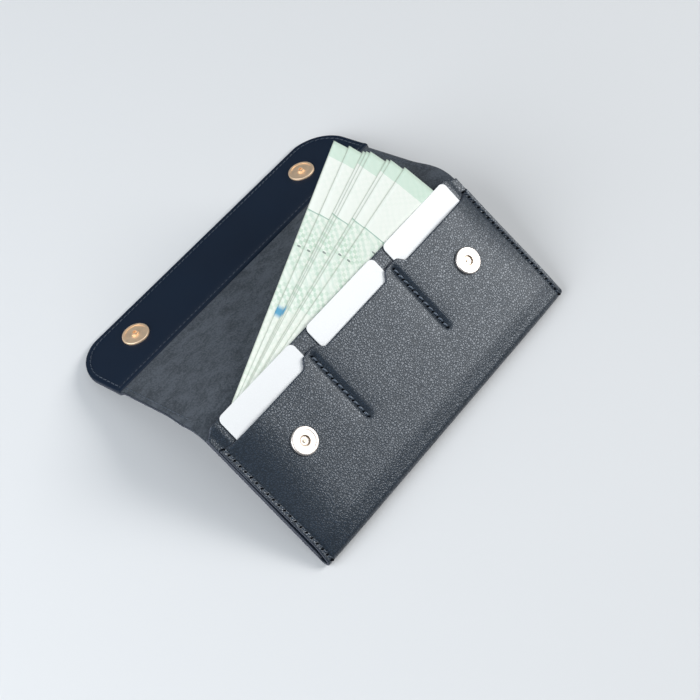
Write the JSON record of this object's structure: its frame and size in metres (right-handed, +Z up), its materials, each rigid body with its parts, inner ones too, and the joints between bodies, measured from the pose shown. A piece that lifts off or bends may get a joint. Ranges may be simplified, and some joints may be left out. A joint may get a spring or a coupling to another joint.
{
  "type": "trifold long wallet",
  "caption": "Long trifold wallet in pebbled leather, standing open like a tent: a pouch with card pockets, a back, and a flap with snaps.",
  "frame": {"origin": "middle of the box's foot, on the floor that the open wallet stands on", "axes": "+X along the wallet's folds, +Y from the pouch's foot to the flap's tip, +Z up"},
  "size_m": [0.201, 0.1707, 0.0627],
  "materials": {
    "pebbled_leather": "pebble grain, semi-matt",
    "smooth_leather": "smooth, semi-matt",
    "suede": "short nap, matt",
    "thread": "waxed thread",
    "pale_gold": "satin plated",
    "rose_gold": "polished plated",
    "plate_steel": "plain",
    "card_plastic": "satin",
    "note_paper": "matt print"
  },
  "bodies": {
    "pouch": {"back_panel": "pebbled_leather", "bottom_fold": "pebbled_leather", "front_pocket_panel": "pebbled_leather", "divider_panel": "pebbled_leather", "pouch_lining": "suede", "left_side_welt": "pebbled_leather", "right_side_welt": "pebbled_leather", "left_side_stitches": "thread", "right_side_stitches": "thread", "left_pocket_stitches": "thread", "right_pocket_stitches": "thread", "left_snap_socket": "pale_gold", "right_snap_socket": "pale_gold", "left_socket_plate": "plate_steel", "right_socket_plate": "plate_steel"},
    "crest": {"crest_panel": "pebbled_leather", "crest_lining": "suede"},
    "flap": {"flap_panel": "pebbled_leather", "flap_lining": "suede", "flap_facing": "smooth_leather", "flap_edge_stitches": "thread", "facing_stitches": "thread", "left_snap_stud": "rose_gold", "right_snap_stud": "rose_gold", "left_stud_plate": "plate_steel", "right_stud_plate": "plate_steel"},
    "left_card": {"left_card": "card_plastic"},
    "middle_card": {"middle_card": "card_plastic"},
    "right_card": {"right_card": "card_plastic"},
    "banknote_1": {"banknote_1": "note_paper"},
    "banknote_2": {"banknote_2": "note_paper"},
    "banknote_3": {"banknote_3": "note_paper"},
    "banknote_4": {"banknote_4": "note_paper"},
    "banknote_5": {"banknote_5": "note_paper"},
    "banknote_6": {"banknote_6": "note_paper"},
    "banknote_7": {"banknote_7": "note_paper"},
    "banknote_8": {"banknote_8": "note_paper"}
  },
  "joints": [
    {"name": "back_crease", "type": "hinge", "parent": "pouch", "child": "crest", "pos_m": [0, -0.00185, 0.03822], "axis": [1, 0, 0], "range_deg": [-40, 49.76]},
    {"name": "flap_fold", "type": "hinge", "parent": "crest", "child": "flap", "pos_m": [0, 0.01844, 0.03711], "axis": [1, 0, 0], "range_deg": [0, 180]},
    {"name": "left_card_slide", "type": "slide", "parent": "pouch", "child": "left_card", "axis": [0, 0.8996, 0.4368], "range_m": [0, 0.01]},
    {"name": "middle_card_slide", "type": "slide", "parent": "pouch", "child": "middle_card", "axis": [0, 0.8996, 0.4368], "range_m": [0, 0.01]},
    {"name": "right_card_slide", "type": "slide", "parent": "pouch", "child": "right_card", "axis": [0, 0.8996, 0.4368], "range_m": [0, 0.01]},
    {"name": "banknote_1_fan", "type": "hinge", "parent": "pouch", "child": "banknote_1", "pos_m": [-0.096, -0.02752, 0.02814], "axis": [0, -0.4368, 0.8996], "range_deg": [-21.5, 0]},
    {"name": "banknote_2_fan", "type": "hinge", "parent": "pouch", "child": "banknote_2", "pos_m": [-0.096, -0.02771, 0.02852], "axis": [0, -0.4368, 0.8996], "range_deg": [-18.8, 0]},
    {"name": "banknote_3_fan", "type": "hinge", "parent": "pouch", "child": "banknote_3", "pos_m": [-0.096, -0.02789, 0.0289], "axis": [0, -0.4368, 0.8996], "range_deg": [-16.3, 0]},
    {"name": "banknote_4_fan", "type": "hinge", "parent": "pouch", "child": "banknote_4", "pos_m": [-0.096, -0.02807, 0.02927], "axis": [0, -0.4368, 0.8996], "range_deg": [-15.8, 0]},
    {"name": "banknote_5_fan", "type": "hinge", "parent": "pouch", "child": "banknote_5", "pos_m": [-0.096, -0.02826, 0.02965], "axis": [0, -0.4368, 0.8996], "range_deg": [-15.2, 0]},
    {"name": "banknote_6_fan", "type": "hinge", "parent": "pouch", "child": "banknote_6", "pos_m": [-0.096, -0.02844, 0.03003], "axis": [0, -0.4368, 0.8996], "range_deg": [-12.2, 0]},
    {"name": "banknote_7_fan", "type": "hinge", "parent": "pouch", "child": "banknote_7", "pos_m": [-0.096, -0.02862, 0.03041], "axis": [0, -0.4368, 0.8996], "range_deg": [-11.6, 0]},
    {"name": "banknote_8_fan", "type": "hinge", "parent": "pouch", "child": "banknote_8", "pos_m": [-0.096, -0.02881, 0.03079], "axis": [0, -0.4368, 0.8996], "range_deg": [-9, 0]}
  ],
  "couplings": [
    {"joint": "banknote_1_fan", "follows": "flap_fold", "ratio": -0.11944},
    {"joint": "banknote_2_fan", "follows": "flap_fold", "ratio": -0.10444},
    {"joint": "banknote_3_fan", "follows": "flap_fold", "ratio": -0.090556},
    {"joint": "banknote_4_fan", "follows": "flap_fold", "ratio": -0.087778},
    {"joint": "banknote_5_fan", "follows": "flap_fold", "ratio": -0.084444},
    {"joint": "banknote_6_fan", "follows": "flap_fold", "ratio": -0.067778},
    {"joint": "banknote_7_fan", "follows": "flap_fold", "ratio": -0.064444},
    {"joint": "banknote_8_fan", "follows": "flap_fold", "ratio": -0.05}
  ]
}
